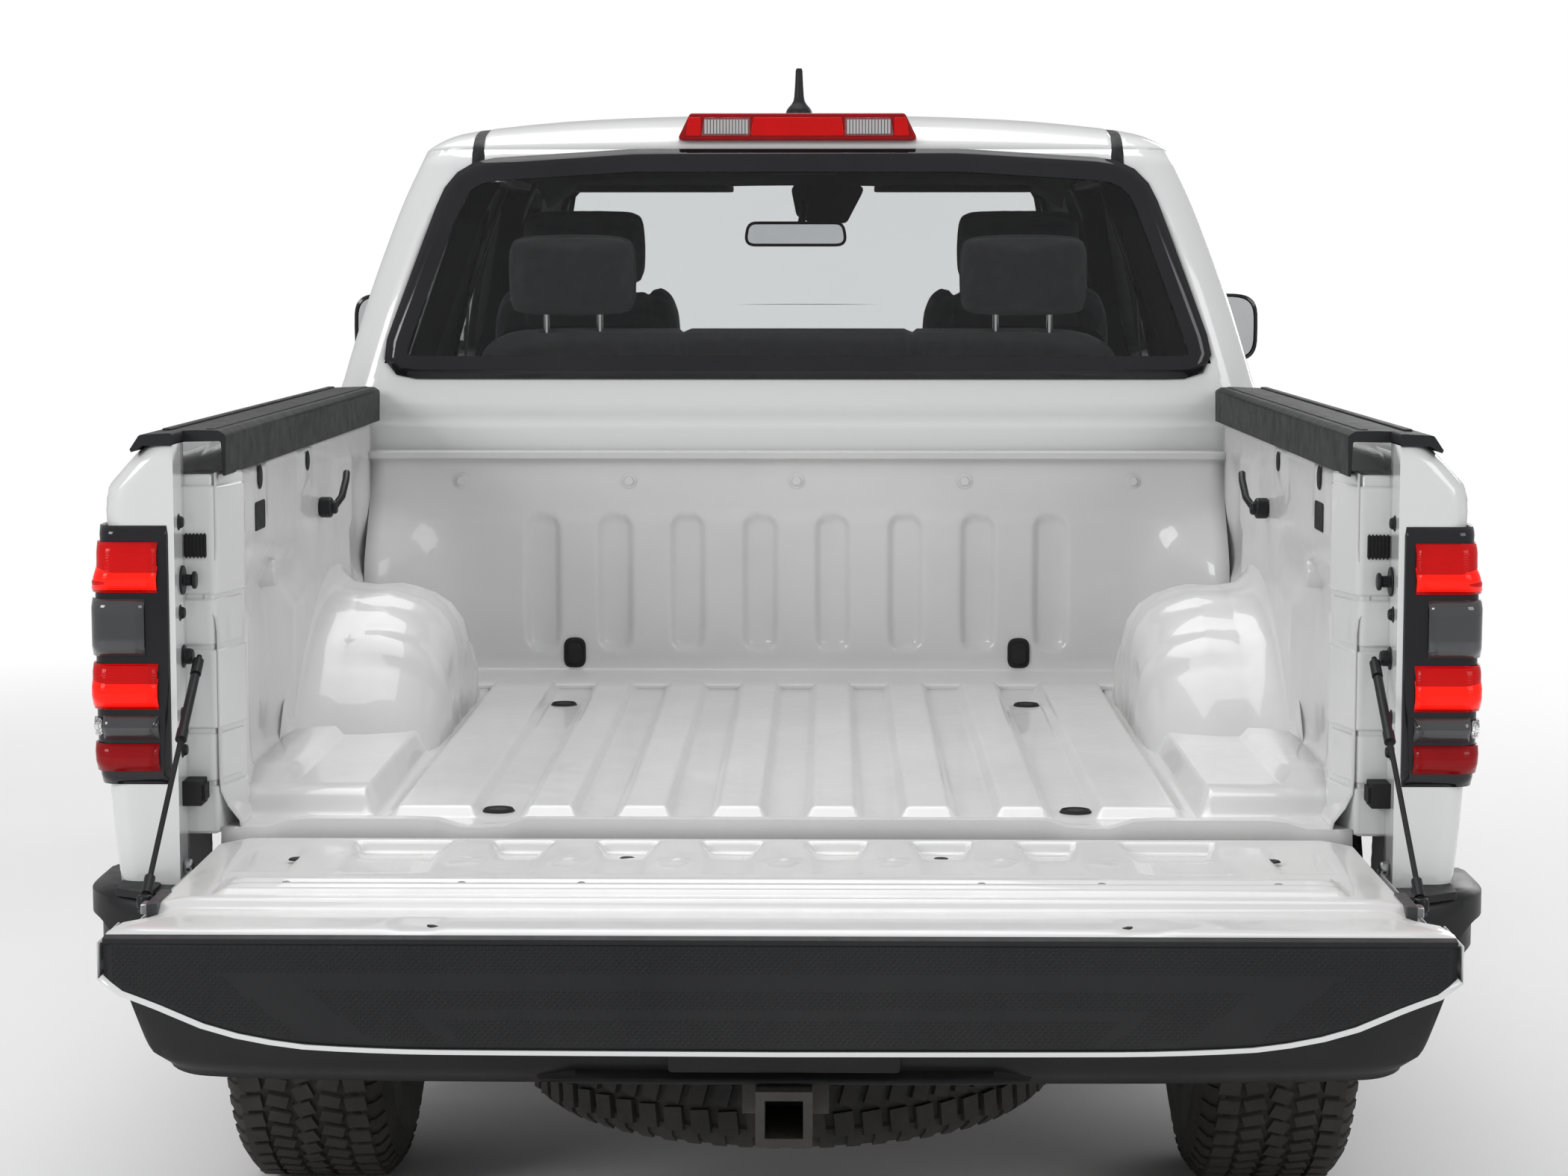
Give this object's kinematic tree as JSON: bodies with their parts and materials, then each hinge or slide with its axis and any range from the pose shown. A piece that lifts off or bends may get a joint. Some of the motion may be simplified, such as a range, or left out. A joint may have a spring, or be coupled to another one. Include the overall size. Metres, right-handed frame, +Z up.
{
  "type": "crew-cab pickup truck",
  "caption": "Crew-cab pickup truck with an open cargo bed, a lowered tailgate, opening doors and hood, and steered front wheels on a ladder frame.",
  "frame": {"origin": "on the ground, at the middle of the truck's length and width with its tailgate lowered", "axes": "+Z up, the truck faces -Y, +X is its left side"},
  "size_m": [2.21, 5.785, 1.918],
  "materials": {
    "body_paint": "gloss white paint",
    "black_plastic": "grained black plastic",
    "tinted_glass": "dark tinted glass",
    "clear_lens": "clear lens over bright reflectors",
    "red_lens": "red lens",
    "tyre_rubber": "black rubber",
    "wheel_alloy": "painted silver alloy",
    "chassis_black": "satin black chassis paint",
    "cast_metal": "bare cast metal",
    "radiator_alloy": "matt alloy fins",
    "exhaust_steel": "dull steel",
    "tank_plastic": "moulded plastic",
    "seat_cloth": "charcoal woven cloth",
    "cabin_plastic": "grained cabin plastic",
    "cable_sleeve": "black sleeved steel cable"
  },
  "bodies": {
    "root": {"cab_floor": "body_paint", "cab_pillars": "body_paint", "roof": "body_paint", "front_wings": "body_paint", "bed_floor": "body_paint", "bed_sides": "body_paint", "bed_header": "body_paint", "grille": "black_plastic", "front_bumper": "black_plastic", "rear_bumper": "black_plastic", "rail_caps": "black_plastic", "antenna": "black_plastic", "windscreen": "tinted_glass", "rear_window": "tinted_glass", "headlamps": "clear_lens", "tail_lamps": "red_lens", "brake_lamp": "red_lens", "spare_wheel": "tyre_rubber", "ladder_frame": "chassis_black", "rear_axle": "chassis_black", "engine_block": "cast_metal", "front_suspension": "cast_metal", "drive_shaft": "cast_metal", "radiator": "radiator_alloy", "exhaust": "exhaust_steel", "fuel_tank": "tank_plastic", "front_seats": "seat_cloth", "rear_seat": "seat_cloth", "dashboard": "cabin_plastic", "interior_mirror": "cabin_plastic", "tailgate_cables": "cable_sleeve"},
    "hood": {"hood": "body_paint"},
    "door_fl": {"front_door_left": "body_paint", "front_glass_left": "tinted_glass", "mirror_left": "black_plastic"},
    "door_fr": {"front_door_right": "body_paint", "front_glass_right": "tinted_glass", "mirror_right": "black_plastic"},
    "door_rl": {"rear_door_left": "body_paint", "rear_glass_left": "tinted_glass"},
    "door_rr": {"rear_door_right": "body_paint", "rear_glass_right": "tinted_glass"},
    "tailgate": {"tailgate": "body_paint", "tailgate_cap": "black_plastic"},
    "steering_wheel": {"steering_wheel": "cabin_plastic"},
    "knuckle_left": {"knuckle_left": "cast_metal"},
    "knuckle_right": {"knuckle_right": "cast_metal"},
    "wheel_fl": {"rim_front_left": "wheel_alloy", "tyre_front_left": "tyre_rubber"},
    "wheel_fr": {"rim_front_right": "wheel_alloy", "tyre_front_right": "tyre_rubber"},
    "wheel_rl": {"rim_rear_left": "wheel_alloy", "tyre_rear_left": "tyre_rubber"},
    "wheel_rr": {"rim_rear_right": "wheel_alloy", "tyre_rear_right": "tyre_rubber"}
  },
  "joints": [
    {"name": "tailgate_hinge", "type": "hinge", "parent": "root", "child": "tailgate", "pos_m": [0, 2.3155, 0.73], "axis": [1, 0, 0], "range_deg": [0, 90], "deforming": ["tailgate_cables"]},
    {"name": "hood_hinge", "type": "hinge", "parent": "root", "child": "hood", "pos_m": [0, -1.575, 1.225], "axis": [-1, 0, 0], "range_deg": [0, 50]},
    {"name": "door_fl_hinge", "type": "hinge", "parent": "root", "child": "door_fl", "pos_m": [0.915, -1.5045, 0.9], "axis": [0, 0, -1], "range_deg": [0, 65]},
    {"name": "door_fr_hinge", "type": "hinge", "parent": "root", "child": "door_fr", "pos_m": [-0.915, -1.5045, 0.9], "axis": [0, 0, 1], "range_deg": [0, 65]},
    {"name": "door_rl_hinge", "type": "hinge", "parent": "root", "child": "door_rl", "pos_m": [0.917, -0.5425, 0.9], "axis": [0, 0, -1], "range_deg": [0, 65]},
    {"name": "door_rr_hinge", "type": "hinge", "parent": "root", "child": "door_rr", "pos_m": [-0.917, -0.5425, 0.9], "axis": [0, 0, 1], "range_deg": [0, 65]},
    {"name": "steer_left", "type": "hinge", "parent": "root", "child": "knuckle_left", "pos_m": [0.695, -1.9825, 0.395], "axis": [0, 0, 1], "range_deg": [-33, 33]},
    {"name": "steer_right", "type": "hinge", "parent": "root", "child": "knuckle_right", "pos_m": [-0.695, -1.9825, 0.395], "axis": [0, 0, 1], "range_deg": [-33, 33]},
    {"name": "steering_turn", "type": "hinge", "parent": "root", "child": "steering_wheel", "pos_m": [0.42, -0.9975, 1.105], "axis": [0, 0.9135, 0.4067], "range_deg": [-500, 500]},
    {"name": "spin_fl", "type": "hinge", "parent": "knuckle_left", "child": "wheel_fl", "pos_m": [0.785, -1.9825, 0.395], "axis": [1, 0, 0], "continuous": true},
    {"name": "spin_fr", "type": "hinge", "parent": "knuckle_right", "child": "wheel_fr", "pos_m": [-0.785, -1.9825, 0.395], "axis": [1, 0, 0], "continuous": true},
    {"name": "spin_rl", "type": "hinge", "parent": "root", "child": "wheel_rl", "pos_m": [0.785, 1.2175, 0.395], "axis": [1, 0, 0], "continuous": true},
    {"name": "spin_rr", "type": "hinge", "parent": "root", "child": "wheel_rr", "pos_m": [-0.785, 1.2175, 0.395], "axis": [1, 0, 0], "continuous": true}
  ],
  "couplings": [
    {"joint": "steer_right", "follows": "steer_left", "ratio": 1},
    {"joint": "steering_turn", "follows": "steer_left", "ratio": 15}
  ]
}
